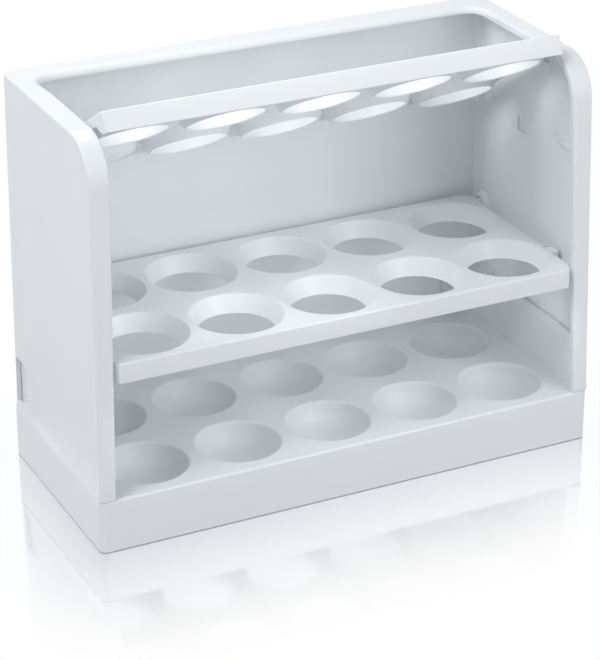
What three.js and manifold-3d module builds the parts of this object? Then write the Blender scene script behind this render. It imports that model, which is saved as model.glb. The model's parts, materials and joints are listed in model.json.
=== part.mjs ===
import * as THREE from "three";
import { mergeVertices } from "three/addons/utils/BufferGeometryUtils.js";
import Module from "manifold-3d";

// An egg rack for a fridge, moulded in white plastic: a base tray with shallow cups, a housing that is
// open in front and on top, and two egg trays that hinge at the back of its side walls and flip up.
// Millimetres. +Z is up, the front faces -Y, and the origin is the bottom centre of the base.

const wasm = await Module();
wasm.setup();

// Walls and clearances that all the mouldings share
const wall = 2.1;
const seatGap = 0.3;
const cutOverrun = 2;
const weldDistance = 0.0001;
const plasticColor = 0xe9ebee;
const plasticRoughness = 0.34;

// Egg cups, on one grid in all three tiers
const cupColumns = 5;
const cupRows = 2;
const cupRadius = 21.2;
const cupLandX = 3.6;
const cupLandY = 7.1;
const cupPitchX = 2 * cupRadius + cupLandX;
const cupPitchY = 2 * cupRadius + cupLandY;
const cupSides = 24;

// Flip-up egg trays
const trayPlate = 2;
const traySideEdge = 2.3;
const trayFrontEdge = 3.95;
const trayRearEdge = 5.15;
const traySkirt = 5;
const traySkirtWall = 1.8;
const apronHeight = 9.5;
const apronWall = 2;
const collarDepth = 8.7;
const collarTaper = 3.6;
const collarWall = 1.5;
const cornerCutX = 3;
const cornerCutY = 5.9;
const topCornerCutX = 1;
const topCornerCutY = 3;
const trayHalfWidth = ((cupColumns - 1) * cupPitchX) / 2 + cupRadius + traySideEdge;
const trayDepth = (cupRows - 1) * cupPitchY + 2 * cupRadius + trayFrontEdge + trayRearEdge;

// Hinges, rest lugs and detents of the trays
const pivotToRear = 5.6;
const pivotDrop = 3.5;
const pinRadius = 2.4;
const pinBossRadius = 3.5;
const pinClearance = 0.3;
const pinSides = 16;
const rearChamfer = 1.3;
const rearCornerCut = 4;
const lugFrontReach = 74;
const lugLength = 6;
const lugDrop = 2.3;
const lugGap = 1.3;
const nubReach = 63;
const nubRadius = 2.2;

// Heights of the tiers
const plinthHeight = 25.3;
const middleTrayTop = 90;
const tierPitch = 60;
const headRoom = 40;
const topTrayTop = middleTrayTop + tierPitch;
const rackHeight = topTrayTop + headRoom;
const housingFoot = plinthHeight + seatGap;

// Housing shell
const sideGap = 5.3;
const sideLean = 2;
const plinthLedge = 0.6;
const postDepth = 12;
const frontLean = 6;
const trayProud = 1.6;
const rearClearance = 3.3;
const housingCornerRadius = 4.5;
const cornerSteps = 4;
const frontCurveRadius = 20;
const frontCurveSteps = 8;
const rimThickness = 3;
const rimSideWidth = 10.2;
const rimBackWidth = 13;
const mouthClearance = 0.5;
const rimCornerRadius = 8;
const flangeFootWidth = 7;

// Fittings moulded on the housing's inner walls
const socketRadius = 5;
const socketReach = 3.6;
const ledgeThickness = 3.5;
const ledgeClearance = 0.5;
const ledgeRearToPivot = 62;
const ledgeTaper = 5;
const pocketLength = 8.5;
const pocketHeight = 7.5;
const pocketDepth = 1.2;
const middleTrayRise = THREE.MathUtils.degToRad(56);

// Base tray
const plinthFrontRadius = 2.5;
const deckThickness = 2.2;
const bowlRadius = 19.5;
const bowlMiddleRadius = 16.5;
const bowlFloorRadius = 10;
const bowlDepth = 12;
const bowlMiddleDepth = 6.5;
const bowlWall = 1.8;
const cheekHeight = 26.5;
const cheekWall = 2;
const cheekFrontInset = 8;
const cheekReturn = 18;

// Snap between the base's cheeks and the housing's rear windows
const windowSill = 1.6;
const windowSillRise = 7.6;
const windowHeight = 24.8;
const windowLength = 15.9;
const windowRearInset = 4.5;
const snapHeight = 2.6;
const snapLength = 7;
const snapReach = 1.4;

// Places that follow from the sizes above
const rackDepth = trayProud + trayDepth + rearClearance + wall;
const rackFront = -rackDepth / 2;
const rackRear = rackDepth / 2;
const innerRear = rackRear - wall;
const pivotY = innerRear - rearClearance - pivotToRear;
const topPivotZ = topTrayTop - pivotDrop;
const middlePivotZ = middleTrayTop - pivotDrop;
const rimUnderside = rackHeight - rimThickness;

// How far up the housing a height lies: 0 at its foot, 1 at its top
const riseShare = (z) => (z - housingFoot) / (rackHeight - housingFoot);

const footHalfWidth = trayHalfWidth + sideGap + wall + sideLean * riseShare(topPivotZ) + plinthLedge;
const outerHalfWidthAt = (z) => footHalfWidth - plinthLedge - sideLean * riseShare(z);
const innerHalfWidthAt = (z) => outerHalfWidthAt(z) - wall;
const frontAt = (z) => rackFront + frontLean * riseShare(z);
const innerRadius = (radius, inset) => Math.max(radius - inset, seatGap);
const cupX = (column) => (column - (cupColumns - 1) / 2) * cupPitchX;
const cupY = (row) => rackFront + trayProud + trayFrontEdge + cupRadius + row * cupPitchY;
const lugHalfWidth = innerHalfWidthAt(rimUnderside) - lugGap;
const nubHeight = pivotDrop - traySkirt / 2;

// The top tray stops where the front top corner of its lugs meets the underside of the rim.
const lugTop = pivotDrop - lugDrop;
const lugSwingRadius = Math.hypot(lugFrontReach, lugTop);
const stopHeight = rimUnderside - seatGap - topPivotZ;
const topTrayRise = Math.asin(stopHeight / lugSwingRadius) - Math.atan2(lugTop, lugFrontReach);

// A closed geometry as a solid that can be joined and cut
function solid(geometry) {
  const bare = geometry.clone();
  bare.deleteAttribute("normal");
  bare.deleteAttribute("uv");
  const merged = mergeVertices(bare, weldDistance);
  return new wasm.Manifold(
    new wasm.Mesh({
      numProp: 3,
      vertProperties: new Float32Array(merged.attributes.position.array),
      triVerts: new Uint32Array(merged.index.array),
    }),
  );
}

// A solid as a geometry that can be drawn
function drawable(shape) {
  const mesh = shape.getMesh();
  const geometry = new THREE.BufferGeometry();
  geometry.setAttribute("position", new THREE.BufferAttribute(mesh.vertProperties, 3));
  geometry.setIndex(new THREE.BufferAttribute(mesh.triVerts, 1));
  const faceted = geometry.toNonIndexed();
  faceted.computeVertexNormals();
  return faceted;
}

const joined = (shapes) => shapes.reduce((sum, shape) => sum.add(shape));

function box(x0, x1, y0, y1, z0, z1) {
  const geometry = new THREE.BoxGeometry(x1 - x0, y1 - y0, z1 - z0);
  geometry.translate((x0 + x1) / 2, (y0 + y1) / 2, (z0 + z1) / 2);
  return solid(geometry);
}

// Points of an arc about a centre, both ends included
function arc(centreX, centreY, radius, fromAngle, toAngle, steps) {
  const points = [];
  for (let i = 0; i <= steps; i++) {
    const angle = fromAngle + ((toAngle - fromAngle) * i) / steps;
    points.push(new THREE.Vector2(centreX + radius * Math.cos(angle), centreY + radius * Math.sin(angle)));
  }
  return points;
}

const mirroredX = (points) => points.map((p) => new THREE.Vector2(-p.x, p.y)).reverse();

// A solid between two plan outlines that run counter-clockwise and match point for point
function loft(lower, zLower, upper, zUpper) {
  const count = lower.length;
  const positions = [];
  lower.forEach((p) => positions.push(p.x, p.y, zLower));
  upper.forEach((p) => positions.push(p.x, p.y, zUpper));
  const faces = [];
  for (let i = 0; i < count; i++) {
    const next = (i + 1) % count;
    faces.push(i, next, count + next, i, count + next, count + i);
  }
  THREE.ShapeUtils.triangulateShape(lower, []).forEach(([a, b, c]) => {
    faces.push(a, c, b, count + a, count + b, count + c);
  });
  const geometry = new THREE.BufferGeometry();
  geometry.setAttribute("position", new THREE.Float32BufferAttribute(positions, 3));
  geometry.setIndex(faces);
  return solid(geometry);
}

const upright = (outline, z0, z1) => loft(outline, z0, outline, z1);

// A solid with one outline in (y, z), carried along X from -halfWidth to +halfWidth
function crosswise(outline, halfWidth) {
  const geometry = new THREE.ExtrudeGeometry(new THREE.Shape(outline), {
    depth: 2 * halfWidth,
    bevelEnabled: false,
  });
  geometry.rotateX(Math.PI / 2);
  geometry.rotateZ(Math.PI / 2);
  geometry.translate(-halfWidth, 0, 0);
  return solid(geometry);
}

// A round frustum that stands on (x, y), and a round bar along X
function frustum(x, y, zLower, radiusLower, zUpper, radiusUpper) {
  const geometry = new THREE.CylinderGeometry(radiusUpper, radiusLower, zUpper - zLower, cupSides);
  geometry.rotateX(Math.PI / 2);
  geometry.translate(x, y, (zLower + zUpper) / 2);
  return solid(geometry);
}

function crossBar(x0, x1, y, z, radius) {
  const geometry = new THREE.CylinderGeometry(radius, radius, Math.abs(x1 - x0), pinSides);
  geometry.rotateZ(Math.PI / 2);
  geometry.translate((x0 + x1) / 2, y, z);
  return solid(geometry);
}

// Runs a maker of one-sided fittings for the right side and mirrors the result for the left
function bothSides(shape) {
  return shape.add(shape.mirror([1, 0, 0]));
}

function eachCup(make) {
  const shapes = [];
  for (let column = 0; column < cupColumns; column++) {
    for (let row = 0; row < cupRows; row++) shapes.push(make(cupX(column), cupY(row)));
  }
  return joined(shapes);
}

// Plan of the housing's outside: its front posts stand flush with the plinth, its walls a ledge further in.
function housingPlan(z) {
  const halfWidth = outerHalfWidthAt(z);
  const post = plinthLedge * (1 - riseShare(z));
  const corner = arc(
    halfWidth - housingCornerRadius,
    rackRear - housingCornerRadius,
    housingCornerRadius,
    0,
    Math.PI / 2,
    cornerSteps,
  );
  const right = [
    new THREE.Vector2(halfWidth + post, frontAt(housingFoot)),
    new THREE.Vector2(halfWidth, frontAt(housingFoot) + postDepth),
    ...corner,
  ];
  return [...right, ...mirroredX(right)];
}

// A plan with straight sides and round rear corners, open to the front past the housing
function roundBackedPlan(halfWidth, rear, radius) {
  const right = [
    new THREE.Vector2(halfWidth, rackFront - cutOverrun),
    ...arc(halfWidth - radius, rear - radius, radius, 0, Math.PI / 2, cornerSteps),
  ];
  return [...right, ...mirroredX(right)];
}

// Side profile of the housing in (y, z), moved inwards by an inset: a leaning front that curves into the top
function sideProfile(inset) {
  const slope = frontLean / (rackHeight - housingFoot);
  const radius = frontCurveRadius - inset;
  const centreZ = rackHeight - frontCurveRadius;
  const centreY = frontAt(centreZ) + frontCurveRadius * Math.hypot(1, slope);
  const bottom = housingFoot - cutOverrun;
  const frontBottom = frontAt(bottom) + inset * Math.hypot(1, slope);
  const curve = arc(centreY, centreZ, radius, Math.PI - Math.atan(slope), Math.PI / 2, frontCurveSteps);
  return [
    new THREE.Vector2(frontBottom, bottom),
    new THREE.Vector2(rackRear + cutOverrun, bottom),
    new THREE.Vector2(rackRear + cutOverrun, rackHeight - inset),
    ...curve.reverse(),
  ];
}

// Housing shell: two leaning side walls, a back wall, front flanges and a flat rim turned inwards on top
function housingShell() {
  const farAside = footHalfWidth + cutOverrun;
  const outside = loft(housingPlan(housingFoot), housingFoot, housingPlan(rackHeight), rackHeight);
  const body = outside.intersect(crosswise(sideProfile(0), farAside));
  const roomRadius = innerRadius(housingCornerRadius, wall);
  const innerPlan = (z) => roundBackedPlan(innerHalfWidthAt(z), innerRear, roomRadius);
  const cavityFoot = housingFoot - cutOverrun;
  const room = loft(innerPlan(cavityFoot), cavityFoot, innerPlan(rimUnderside), rimUnderside);
  const cavity = room.intersect(crosswise(sideProfile(rimThickness), farAside));
  const rimRear = rackRear - rimBackWidth;
  const mouthFoot = roundBackedPlan(footHalfWidth - flangeFootWidth, rimRear, rimCornerRadius);
  const mouthTop = roundBackedPlan(outerHalfWidthAt(rackHeight) - rimSideWidth, rimRear, rimCornerRadius);
  const mouth = loft(mouthFoot, cavityFoot, mouthTop, rackHeight + cutOverrun);
  return body.subtract(cavity).subtract(mouth);
}

// A hinge socket: a round boss on the side wall, bored for a tray's pin
const socket = (pivotZ) =>
  crossBar(
    innerHalfWidthAt(pivotZ) - socketReach,
    outerHalfWidthAt(pivotZ) - wall / 2,
    pivotY,
    pivotZ,
    socketRadius,
  );
const socketBore = (pivotZ) =>
  crossBar(
    innerHalfWidthAt(pivotZ) - socketReach - cutOverrun,
    innerHalfWidthAt(pivotZ),
    pivotY,
    pivotZ,
    pinRadius + pinClearance,
  );

// A ledge on the side wall under a tray's lug, tapered where it runs out at the back
function restLedge(pivotZ) {
  const top = pivotZ + pivotDrop - traySkirt - seatGap;
  const inner = trayHalfWidth + ledgeClearance;
  const buried = outerHalfWidthAt(top) - wall / 2;
  const front = frontAt(top) + rimThickness / 2;
  const rear = pivotY - ledgeRearToPivot;
  const plan = [
    new THREE.Vector2(inner, front),
    new THREE.Vector2(buried, front),
    new THREE.Vector2(buried, rear),
    new THREE.Vector2(inner, rear - ledgeTaper),
  ];
  return upright(plan, top - ledgeThickness, top);
}

// A blind pocket in the side wall beside the nub of a tray raised by an angle
function detentPocket(pivotZ, rise) {
  const y = pivotY - nubReach * Math.cos(rise) + nubHeight * Math.sin(rise);
  const z = pivotZ + nubReach * Math.sin(rise) + nubHeight * Math.cos(rise);
  const face = innerHalfWidthAt(z);
  return box(
    face - pocketDepth,
    face + pocketDepth,
    y - pocketLength / 2,
    y + pocketLength / 2,
    z - pocketHeight / 2,
    z + pocketHeight / 2,
  );
}

// A window low at the rear of each side wall, where the base's cheek snaps in. Its sill rises to the front.
function snapWindows() {
  const sill = housingFoot + windowSill;
  const rear = rackRear - windowRearInset;
  const outline = [
    new THREE.Vector2(rear - windowLength, sill + windowSillRise),
    new THREE.Vector2(rear, sill),
    new THREE.Vector2(rear, sill + windowHeight),
    new THREE.Vector2(rear - windowLength, sill + windowHeight),
  ];
  const across = crosswise(outline, footHalfWidth + cutOverrun);
  return across.subtract(crosswise(outline, innerHalfWidthAt(housingFoot) - cutOverrun));
}

function housing() {
  const added = [middlePivotZ, topPivotZ].flatMap((pivotZ) => [socket(pivotZ), restLedge(pivotZ)]);
  const removed = [
    socketBore(middlePivotZ),
    socketBore(topPivotZ),
    detentPocket(middlePivotZ, middleTrayRise),
    detentPocket(topPivotZ, topTrayRise),
  ];
  return housingShell()
    .add(bothSides(joined(added)))
    .subtract(bothSides(joined(removed)))
    .subtract(snapWindows());
}

// Plan of the plinth, moved inwards by an inset
function plinthPlan(inset) {
  const halfWidth = footHalfWidth - inset;
  const frontRadius = innerRadius(plinthFrontRadius, inset);
  const rearRadius = innerRadius(housingCornerRadius, inset);
  const frontY = rackFront + inset + frontRadius;
  const rearY = rackRear - inset - rearRadius;
  const right = [
    ...arc(halfWidth - frontRadius, frontY, frontRadius, -Math.PI / 2, 0, cornerSteps),
    ...arc(halfWidth - rearRadius, rearY, rearRadius, 0, Math.PI / 2, cornerSteps),
  ];
  return [...right, ...mirroredX(right)];
}

// Cheeks that stand on the base inside the housing's walls and turn round its rear corners
function cheeks() {
  const top = plinthHeight + cheekHeight;
  const outer = innerHalfWidthAt(top) - seatGap;
  const rear = innerRear - seatGap;
  const radius = innerRadius(housingCornerRadius, wall + seatGap);
  const foot = plinthHeight - deckThickness / 2;
  const ring = upright(roundBackedPlan(outer, rear, radius), foot, top).subtract(
    upright(
      roundBackedPlan(outer - cheekWall, rear - cheekWall, innerRadius(radius, cheekWall)),
      foot - cutOverrun,
      top + cutOverrun,
    ),
  );
  const kept = box(
    outer - cheekReturn,
    outer + cutOverrun,
    rackFront + cheekFrontInset,
    rackRear,
    foot - cutOverrun,
    top + cutOverrun,
  );
  return ring.intersect(bothSides(kept));
}

// Snap ribs on the cheeks, just above the high front ends of the windows' sills
function snapRibs() {
  const sill = housingFoot + windowSill + windowSillRise + seatGap;
  const face = innerHalfWidthAt(plinthHeight + cheekHeight) - seatGap;
  const windowFront = rackRear - windowRearInset - windowLength;
  return bothSides(
    box(
      face - cheekWall / 2,
      face + snapReach,
      windowFront + seatGap,
      windowFront + seatGap + snapLength,
      sill,
      sill + snapHeight,
    ),
  );
}

// A shallow bowl under the deck, or with no wall the hollow of that bowl
function bowl(x, y, thickness, lift) {
  const floor = plinthHeight - bowlDepth - thickness;
  const middle = plinthHeight - bowlMiddleDepth;
  const top = plinthHeight + lift;
  const profile = [
    new THREE.Vector2(0, floor),
    new THREE.Vector2(bowlFloorRadius + thickness, floor),
    new THREE.Vector2(bowlMiddleRadius + thickness, middle),
    new THREE.Vector2(bowlRadius + thickness, top),
    new THREE.Vector2(0, top),
  ];
  const geometry = new THREE.LatheGeometry(profile, cupSides);
  geometry.rotateX(Math.PI / 2);
  geometry.translate(x, y, 0);
  return solid(geometry);
}

function baseTray() {
  const block = upright(plinthPlan(0), 0, plinthHeight);
  const hollow = upright(plinthPlan(wall), -cutOverrun, plinthHeight - deckThickness);
  const shell = block.subtract(hollow).add(eachCup((x, y) => bowl(x, y, bowlWall, 0)));
  const hollows = eachCup((x, y) => bowl(x, y, 0, 0)).add(
    eachCup((x, y) =>
      frustum(x, y, plinthHeight - seatGap, bowlRadius, plinthHeight + cutOverrun, bowlRadius),
    ),
  );
  return joined([shell.subtract(hollows), cheeks(), snapRibs()]);
}

// Plan of a tray about its pivot, moved inwards by an inset. The part ahead of the lugs may be narrower.
function trayPlan(nose, inset) {
  const front = pivotToRear - trayDepth + inset;
  const shoulder = pivotDrop + lugLength - lugFrontReach;
  const right = [
    new THREE.Vector2(nose.halfWidth - inset - nose.cutX, front),
    new THREE.Vector2(nose.halfWidth - inset, front + nose.cutY),
    new THREE.Vector2(nose.halfWidth - inset, shoulder),
    new THREE.Vector2(trayHalfWidth - inset, shoulder + lugLength / 2),
    new THREE.Vector2(trayHalfWidth - inset, pivotToRear - inset - rearCornerCut),
    new THREE.Vector2(trayHalfWidth - inset - rearCornerCut, pivotToRear - inset),
  ];
  return [...right, ...mirroredX(right)];
}

// Side fittings of a tray: a pin with its boss, a lug that rests on the ledge, and a detent nub
function trayFittings(nose) {
  const root = Math.min(nose.halfWidth, trayHalfWidth) - traySkirtWall;
  const skirtFoot = pivotDrop - traySkirt;
  const pinEnd = innerHalfWidthAt(topPivotZ) - seatGap;
  return bothSides(
    joined([
      crossBar(trayHalfWidth - traySkirtWall, pinEnd, 0, 0, pinRadius),
      crossBar(trayHalfWidth - traySkirtWall, trayHalfWidth, 0, 0, pinBossRadius),
      box(root, lugHalfWidth, -lugFrontReach, lugLength - lugFrontReach, skirtFoot, lugTop),
      crossBar(trayHalfWidth - traySkirtWall, lugHalfWidth, -nubReach, nubHeight, nubRadius),
    ]),
  );
}

// A wedge that takes the top rear edge off a tray, so that it swings clear of the back wall
function rearWedge() {
  const outline = [
    new THREE.Vector2(pivotToRear - rearChamfer, pivotDrop),
    new THREE.Vector2(pivotToRear + cutOverrun, pivotDrop - rearChamfer - cutOverrun),
    new THREE.Vector2(pivotToRear + cutOverrun, pivotDrop + cutOverrun),
    new THREE.Vector2(pivotToRear - rearChamfer, pivotDrop + cutOverrun),
  ];
  return crosswise(outline, footHalfWidth);
}

// An egg tray about its pivot: a plate with an apron in front, a low skirt, and a tapered collar for each egg
function eggTray(nose) {
  const plateFoot = pivotDrop - trayPlate;
  const skirtFoot = pivotDrop - traySkirt;
  const front = pivotToRear - trayDepth;
  const apronFoot = pivotDrop - apronHeight;
  const plate = upright(trayPlan(nose, 0), plateFoot, pivotDrop);
  const skirt = upright(trayPlan(nose, 0), skirtFoot, pivotDrop).subtract(
    upright(trayPlan(nose, traySkirtWall), skirtFoot - cutOverrun, plateFoot),
  );
  const apronEnd = box(-footHalfWidth, footHalfWidth, front, front + nose.cutY, apronFoot, pivotDrop);
  const apronHollow = upright(trayPlan(nose, apronWall), apronFoot - cutOverrun, plateFoot);
  const apron = upright(trayPlan(nose, 0), apronFoot, pivotDrop).intersect(apronEnd).subtract(apronHollow);
  const collarFoot = pivotDrop - collarDepth;
  const throat = cupRadius - collarTaper;
  const collars = eachCup((x, y) =>
    frustum(x, y - pivotY, collarFoot, throat + collarWall, pivotDrop - seatGap, cupRadius + collarWall),
  );
  const taperPerHeight = collarTaper / collarDepth;
  const holes = eachCup((x, y) =>
    frustum(
      x,
      y - pivotY,
      collarFoot - cutOverrun,
      throat - taperPerHeight * cutOverrun,
      pivotDrop + cutOverrun,
      cupRadius + taperPerHeight * cutOverrun,
    ),
  );
  // A narrow front cuts a flat into its outer cups, a collar's wall inside the tray's edge.
  const collarLimit = upright(trayPlan(nose, 0), collarFoot, pivotDrop);
  const holeLimit = upright(trayPlan(nose, collarWall), collarFoot - cutOverrun, pivotDrop + cutOverrun);
  return joined([plate, skirt, apron, collars.intersect(collarLimit), trayFittings(nose)])
    .subtract(holes.intersect(holeLimit))
    .subtract(rearWedge());
}

function part(name, shape) {
  const material = new THREE.MeshStandardMaterial({
    color: plasticColor,
    roughness: plasticRoughness,
    metalness: 0,
  });
  const mesh = new THREE.Mesh(drawable(shape), material);
  mesh.name = name;
  return mesh;
}

// A tray on its hinge, turned up at the front by an angle
function hinged(mesh, pivotZ, rise) {
  const hinge = new THREE.Group();
  hinge.position.set(0, pivotY, pivotZ);
  hinge.rotation.x = -rise;
  hinge.add(mesh);
  return hinge;
}

// Half width and corner cuts of each tray's front part. The top tray's is narrower, to rise through the rim.
const mouthHalfWidth = outerHalfWidthAt(rackHeight) - rimSideWidth;
const middleNose = { halfWidth: trayHalfWidth, cutX: cornerCutX, cutY: cornerCutY };
const topNose = { halfWidth: mouthHalfWidth - mouthClearance, cutX: topCornerCutX, cutY: topCornerCutY };

const rack = new THREE.Group();
rack.add(part("base_tray", baseTray()));
rack.add(part("housing", housing()));
rack.add(hinged(part("middle_tray", eggTray(middleNose)), middlePivotZ, 0));
rack.add(hinged(part("top_tray", eggTray(topNose)), topPivotZ, topTrayRise));

export default rack;
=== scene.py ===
import json

import bmesh
import bpy
import numpy as np
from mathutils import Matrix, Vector


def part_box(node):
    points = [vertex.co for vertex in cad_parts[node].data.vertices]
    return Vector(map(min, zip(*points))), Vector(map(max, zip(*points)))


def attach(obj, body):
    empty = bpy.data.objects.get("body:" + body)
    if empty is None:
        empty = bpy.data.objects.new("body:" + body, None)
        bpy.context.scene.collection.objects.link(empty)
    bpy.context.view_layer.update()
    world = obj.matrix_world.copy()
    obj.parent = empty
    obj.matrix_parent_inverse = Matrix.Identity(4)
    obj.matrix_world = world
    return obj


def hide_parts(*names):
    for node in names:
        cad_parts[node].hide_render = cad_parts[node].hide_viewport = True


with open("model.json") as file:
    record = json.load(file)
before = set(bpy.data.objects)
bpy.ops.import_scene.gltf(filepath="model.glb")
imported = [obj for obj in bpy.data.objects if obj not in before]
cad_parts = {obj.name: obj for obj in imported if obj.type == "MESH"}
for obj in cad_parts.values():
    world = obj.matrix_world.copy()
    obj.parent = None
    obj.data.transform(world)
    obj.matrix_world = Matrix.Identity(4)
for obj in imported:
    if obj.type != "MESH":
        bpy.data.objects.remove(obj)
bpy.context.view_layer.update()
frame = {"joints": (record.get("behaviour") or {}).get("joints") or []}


# Camera: a long lens held level, from the front left and a little above.
AZIMUTH, ELEVATION = np.radians(-26.19), np.radians(25.66)
EYE = Vector((-0.47165, -0.95679, 0.57256))
LENS, SENSOR = 138.06, 36.0

camera_data = bpy.data.cameras.new("camera")
camera_data.lens = LENS
camera_data.sensor_width = SENSOR
camera = bpy.data.objects.new("camera", camera_data)
level = np.cos(ELEVATION)
away = Vector((np.sin(AZIMUTH) * level, -np.cos(AZIMUTH) * level, np.sin(ELEVATION)))
camera.location = EYE
camera.rotation_euler = away.to_track_quat("Z", "Y").to_euler()
bpy.context.scene.collection.objects.link(camera)
bpy.context.scene.camera = camera


# Base tray: the lowest moulding, white polypropylene. A hollow plinth with a deck of ten shallow cups, and
# cheeks that stand up at its rear corners and snap into the housing's windows. One shot, open underneath.
COLUMNS, ROWS = 5, 2
PITCH_X, PITCH_Y = 0.046, 0.0495
CELL_STEPS, CORNER_STEPS = 16, 10
LEAST_ARC = 0.15
WELD, LEAST_EDGE, SHARP_ANGLE = 2e-6, 1e-6, np.radians(40)

base_low, base_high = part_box("base_tray")
house_low, house_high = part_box("housing")
tray_low, tray_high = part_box("middle_tray")

HALF_WIDTH = base_high.x
FRONT, REAR = base_low.y, base_high.y
SEAT_GAP = 0.0003
DECK_Z = house_low.z - SEAT_GAP
WALL = 0.0021

# The base's cups stand under the egg trays' cups, whose front row sets where both are.
CUP_RADIUS, CUP_TO_FRONT = 0.0212, 0.00395
FRONT_ROW_Y = tray_low.y + CUP_TO_FRONT + CUP_RADIUS
CUP_X = (np.arange(COLUMNS) - (COLUMNS - 1) / 2) * PITCH_X
CUP_Y = FRONT_ROW_Y + np.arange(ROWS) * PITCH_Y
LINE_X = (CUP_X[1:] + CUP_X[:-1]) / 2
LINE_Y = CUP_Y.mean()

PLINTH_FRONT_RADIUS, PLINTH_REAR_RADIUS, PLINTH_EDGE = 0.0032, 0.0045, 0.0004
DECK_EDGE, DECK_THICKNESS = 0.0011, 0.0022
BOWL_RIM_RADIUS, BOWL_DEPTH, BOWL_FLOOR_RADIUS = 0.0195, 0.012, 0.008
BOWL_EDGE, BOWL_UNDER_EDGE, BOWL_DISH, BOWL_WALL = 0.0012, 0.0002, 0.0004, 0.0018
BOWL_START, BOWL_POWER = 0.12, 1.7
CHEEK_TOP = base_high.z
CHEEK_WALL, CHEEK_CORNER, CHEEK_INNER_CORNER = 0.002, 0.0009, 0.0002
CHEEK_FRONT_INSET, CHEEK_RETURN = 0.008, 0.018
CHEEK_INSET, CHEEK_LEAN = 0.003, 0.00032
CHEEK_EASE, CHEEK_CREST, CHEEK_STEPS = 0.0003, 0.75, 12
SNAP_HEIGHT, SNAP_LENGTH, SNAP_REACH, SNAP_FOOT = 0.0026, 0.007, 0.0014, 0.0095
SNAP_TO_REAR, SNAP_EDGE = 0.0204, 0.0004


def grid_faces(rows, columns, start):
    """Quads of a grid of points numbered row by row: each point with its neighbours ahead and above."""
    first = start + np.arange(rows * columns).reshape(rows, columns)[:-1, :-1]
    return np.stack([first, first + 1, first + columns + 1, first + columns], -1).reshape(-1, 4)


def closed(loop):
    """A row of points with its first point again at the end, so that a grid of such rows closes round."""
    return np.concatenate([loop, loop[..., :1, :]], -2)


def shell_piece(name, patches, caps=()):
    """One mesh from grids of points, (rows, columns, 3) each, with shared borders welded, and flat caps."""
    points, faces, start = [], [], 0
    for patch in patches:
        rows, columns = patch.shape[:2]
        points.append(patch.reshape(-1, 3))
        faces.extend(grid_faces(rows, columns, start).tolist())
        start += rows * columns
    for cap in caps:
        points.append(cap)
        faces.append(list(range(start, start + len(cap))))
        start += len(cap)
    mesh = bpy.data.meshes.new(name)
    mesh.from_pydata(np.concatenate(points).tolist(), [], faces)
    work = bmesh.new()
    work.from_mesh(mesh)
    bmesh.ops.remove_doubles(work, verts=work.verts, dist=WELD)
    bmesh.ops.dissolve_degenerate(work, edges=work.edges, dist=LEAST_EDGE)
    bmesh.ops.recalc_face_normals(work, faces=work.faces)
    work.to_mesh(mesh)
    work.free()
    piece = bpy.data.objects.new(name, mesh)
    bpy.context.scene.collection.objects.link(piece)
    return piece


def finish_piece(piece, material, node, body):
    """Smooth shading weighted by face area that keeps sharp edges, then the material and body; the CAD part
    is hidden.
    """
    piece.data.shade_smooth()
    piece.data.set_sharp_from_angle(angle=SHARP_ANGLE)
    weighted = piece.modifiers.new("weighted normals", "WEIGHTED_NORMAL")
    weighted.keep_sharp = True
    piece.data.materials.clear()
    piece.data.materials.append(material)
    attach(piece, body)
    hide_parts(node)


def plan_outline(corners, radii, stops, inset):
    """Closed plan outline: straight edges joined by arcs, moved inwards by inset.

    Each corner moves along the sum of its edges' inward normals over one plus their dot product. An arc of
    steps given with its radius replaces the corner, and an edge is cut at its stops into the given counts of
    equal steps. The inset takes an arc's radius down to LEAST_ARC of itself and no further.
    """
    corners = np.asarray(corners, float)
    ahead = np.roll(corners, -1, 0) - corners
    ahead /= np.linalg.norm(ahead, axis=1, keepdims=True)
    normal = np.stack([-ahead[:, 1], ahead[:, 0]], 1)
    before = np.roll(normal, 1, 0)
    moved = corners + inset * (normal + before) / (1 + (normal * before).sum(1))[:, None]
    turn = np.arccos(np.clip((normal * before).sum(1), -1, 1))
    points, starts, ends = [], [], []
    for i, (radius, steps) in enumerate(radii):
        reach = max(radius - inset, radius * LEAST_ARC) * np.tan(turn[i] / 2)
        back = np.roll(ahead, 1, 0)[i]
        starts.append(moved[i] - back * reach)
        ends.append(moved[i] + ahead[i] * reach)
        share = np.linspace(0, 1, steps + 1)[:, None]
        centre = starts[i] + before[i] * reach / max(np.tan(turn[i] / 2), 1e-9)
        angle = share * turn[i]
        radial = starts[i] - centre
        tangent = back * np.linalg.norm(radial)
        arc = centre + radial * np.cos(angle) + tangent * np.sin(angle)
        points.append(arc if steps else moved[i][None])
    loop = []
    for i, (axis, places, counts) in enumerate(stops):
        loop.append(points[i])
        head, tail = ends[i], starts[(i + 1) % len(corners)]
        if not radii[i][1]:
            head = moved[i]
        if not radii[(i + 1) % len(corners)][1]:
            tail = moved[(i + 1) % len(corners)]
        keys = [head]
        for place in places:
            along = (place - head[axis]) / (tail[axis] - head[axis])
            keys.append(head + (tail - head) * along)
        keys.append(tail)
        for a, b, count in zip(keys[:-1], keys[1:], counts):
            loop.append(a + (b - a) * (np.arange(1, count + 1) / count)[:, None])
        loop[-1] = loop[-1][:-1]
    return np.concatenate(loop)


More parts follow.
